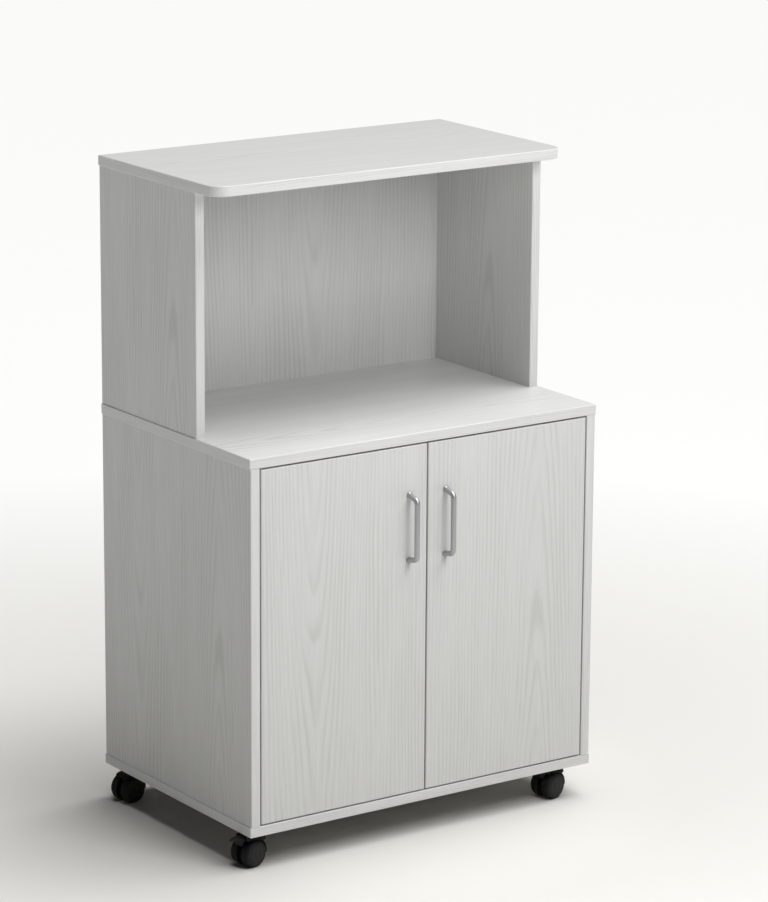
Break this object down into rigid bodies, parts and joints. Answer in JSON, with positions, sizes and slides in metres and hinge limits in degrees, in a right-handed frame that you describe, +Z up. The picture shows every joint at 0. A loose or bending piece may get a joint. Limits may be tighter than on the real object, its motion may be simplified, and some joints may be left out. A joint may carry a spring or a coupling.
{
  "type": "kitchen storage cart",
  "caption": "White wood-grain kitchen cart with an open bay above a cabinet with hinged doors, bow handles, an inner shelf and swivel casters with brakes.",
  "frame": {"origin": "on the floor under the middle of the worktop", "axes": "+Z up from the floor, -Y out of the doors, +X to the right of someone facing the doors"},
  "size_m": [0.6248, 0.427, 0.973],
  "materials": {
    "white_woodgrain_board": "satin melamine foil with a fine pressed wood grain",
    "white_hardboard": "smooth painted hardboard",
    "beech": "bare fluted beech",
    "satin_steel": "satin plated",
    "nickel_steel": "bright nickel plated",
    "zinc": "die-cast zinc",
    "white_plastic": "moulded, matt",
    "caster_steel": "zinc plated",
    "black_nylon_wheel": "moulded, worn matt",
    "black_plastic": "moulded, matt"
  },
  "bodies": {
    "carcass": {"top_panel": "white_woodgrain_board", "upper_left_side": "white_woodgrain_board", "upper_right_side": "white_woodgrain_board", "upper_back": "white_woodgrain_board", "worktop": "white_woodgrain_board", "lower_left_side": "white_woodgrain_board", "lower_right_side": "white_woodgrain_board", "bottom_panel": "white_woodgrain_board", "lower_back": "white_hardboard", "inner_shelf": "white_woodgrain_board", "shelf_pins": "nickel_steel", "cam_locks": "zinc", "cam_bolts": "zinc", "wood_dowels": "beech", "left_hinge_arms": "nickel_steel", "right_hinge_arms": "nickel_steel", "left_hinge_plates": "nickel_steel", "right_hinge_plates": "nickel_steel", "door_catch": "white_plastic", "caster_plates": "caster_steel"},
    "left_door": {"left_door": "white_woodgrain_board", "left_handle": "satin_steel", "left_hinge_cups": "nickel_steel", "left_strike_plate": "nickel_steel"},
    "right_door": {"right_door": "white_woodgrain_board", "right_handle": "satin_steel", "right_hinge_cups": "nickel_steel", "right_strike_plate": "nickel_steel"},
    "front_left_swivel": {"front_left_caster_hood": "black_plastic", "front_left_caster_axle": "caster_steel"},
    "front_left_left_wheel": {"front_left_caster_left_wheel": "black_nylon_wheel"},
    "front_left_right_wheel": {"front_left_caster_right_wheel": "black_nylon_wheel"},
    "front_left_brake": {"front_left_caster_brake_lever": "black_plastic"},
    "front_right_swivel": {"front_right_caster_hood": "black_plastic", "front_right_caster_axle": "caster_steel"},
    "front_right_left_wheel": {"front_right_caster_left_wheel": "black_nylon_wheel"},
    "front_right_right_wheel": {"front_right_caster_right_wheel": "black_nylon_wheel"},
    "front_right_brake": {"front_right_caster_brake_lever": "black_plastic"},
    "rear_left_swivel": {"rear_left_caster_hood": "black_plastic", "rear_left_caster_axle": "caster_steel"},
    "rear_left_left_wheel": {"rear_left_caster_left_wheel": "black_nylon_wheel"},
    "rear_left_right_wheel": {"rear_left_caster_right_wheel": "black_nylon_wheel"},
    "rear_right_swivel": {"rear_right_caster_hood": "black_plastic", "rear_right_caster_axle": "caster_steel"},
    "rear_right_left_wheel": {"rear_right_caster_left_wheel": "black_nylon_wheel"},
    "rear_right_right_wheel": {"rear_right_caster_right_wheel": "black_nylon_wheel"}
  },
  "joints": [
    {"name": "left_door_hinge", "type": "hinge", "parent": "carcass", "child": "left_door", "pos_m": [-0.2723, -0.19515, 0.3275], "axis": [0, 0, -1], "range_deg": [0, 100]},
    {"name": "right_door_hinge", "type": "hinge", "parent": "carcass", "child": "right_door", "pos_m": [0.2723, -0.19515, 0.3275], "axis": [0, 0, 1], "range_deg": [0, 100]},
    {"name": "front_left_swivel_turn", "type": "hinge", "parent": "carcass", "child": "front_left_swivel", "pos_m": [-0.267, -0.1665, 0.044], "axis": [0, 0, 1], "continuous": true},
    {"name": "front_left_left_wheel_spin", "type": "hinge", "parent": "front_left_swivel", "child": "front_left_left_wheel", "pos_m": [-0.28656, -0.17066, 0.02], "axis": [0.2079, -0.9781, 0], "continuous": true},
    {"name": "front_left_right_wheel_spin", "type": "hinge", "parent": "front_left_swivel", "child": "front_left_right_wheel", "pos_m": [-0.28656, -0.17066, 0.02], "axis": [0.2079, -0.9781, 0], "continuous": true},
    {"name": "front_left_brake_press", "type": "hinge", "parent": "front_left_swivel", "child": "front_left_brake", "pos_m": [-0.29634, -0.17274, 0.0435], "axis": [0.2079, -0.9781, 0], "range_deg": [0, 10]},
    {"name": "front_right_swivel_turn", "type": "hinge", "parent": "carcass", "child": "front_right_swivel", "pos_m": [0.267, -0.1665, 0.044], "axis": [0, 0, 1], "continuous": true},
    {"name": "front_right_left_wheel_spin", "type": "hinge", "parent": "front_right_swivel", "child": "front_right_left_wheel", "pos_m": [0.24744, -0.17066, 0.02], "axis": [0.2079, -0.9781, 0], "continuous": true},
    {"name": "front_right_right_wheel_spin", "type": "hinge", "parent": "front_right_swivel", "child": "front_right_right_wheel", "pos_m": [0.24744, -0.17066, 0.02], "axis": [0.2079, -0.9781, 0], "continuous": true},
    {"name": "front_right_brake_press", "type": "hinge", "parent": "front_right_swivel", "child": "front_right_brake", "pos_m": [0.23766, -0.17274, 0.0435], "axis": [0.2079, -0.9781, 0], "range_deg": [0, 10]},
    {"name": "rear_left_swivel_turn", "type": "hinge", "parent": "carcass", "child": "rear_left_swivel", "pos_m": [-0.267, 0.1665, 0.044], "axis": [0, 0, 1], "continuous": true},
    {"name": "rear_left_left_wheel_spin", "type": "hinge", "parent": "rear_left_swivel", "child": "rear_left_left_wheel", "pos_m": [-0.28656, 0.16234, 0.02], "axis": [0.2079, -0.9781, 0], "continuous": true},
    {"name": "rear_left_right_wheel_spin", "type": "hinge", "parent": "rear_left_swivel", "child": "rear_left_right_wheel", "pos_m": [-0.28656, 0.16234, 0.02], "axis": [0.2079, -0.9781, 0], "continuous": true},
    {"name": "rear_right_swivel_turn", "type": "hinge", "parent": "carcass", "child": "rear_right_swivel", "pos_m": [0.267, 0.1665, 0.044], "axis": [0, 0, 1], "continuous": true},
    {"name": "rear_right_left_wheel_spin", "type": "hinge", "parent": "rear_right_swivel", "child": "rear_right_left_wheel", "pos_m": [0.24744, 0.16234, 0.02], "axis": [0.2079, -0.9781, 0], "continuous": true},
    {"name": "rear_right_right_wheel_spin", "type": "hinge", "parent": "rear_right_swivel", "child": "rear_right_right_wheel", "pos_m": [0.24744, 0.16234, 0.02], "axis": [0.2079, -0.9781, 0], "continuous": true}
  ]
}
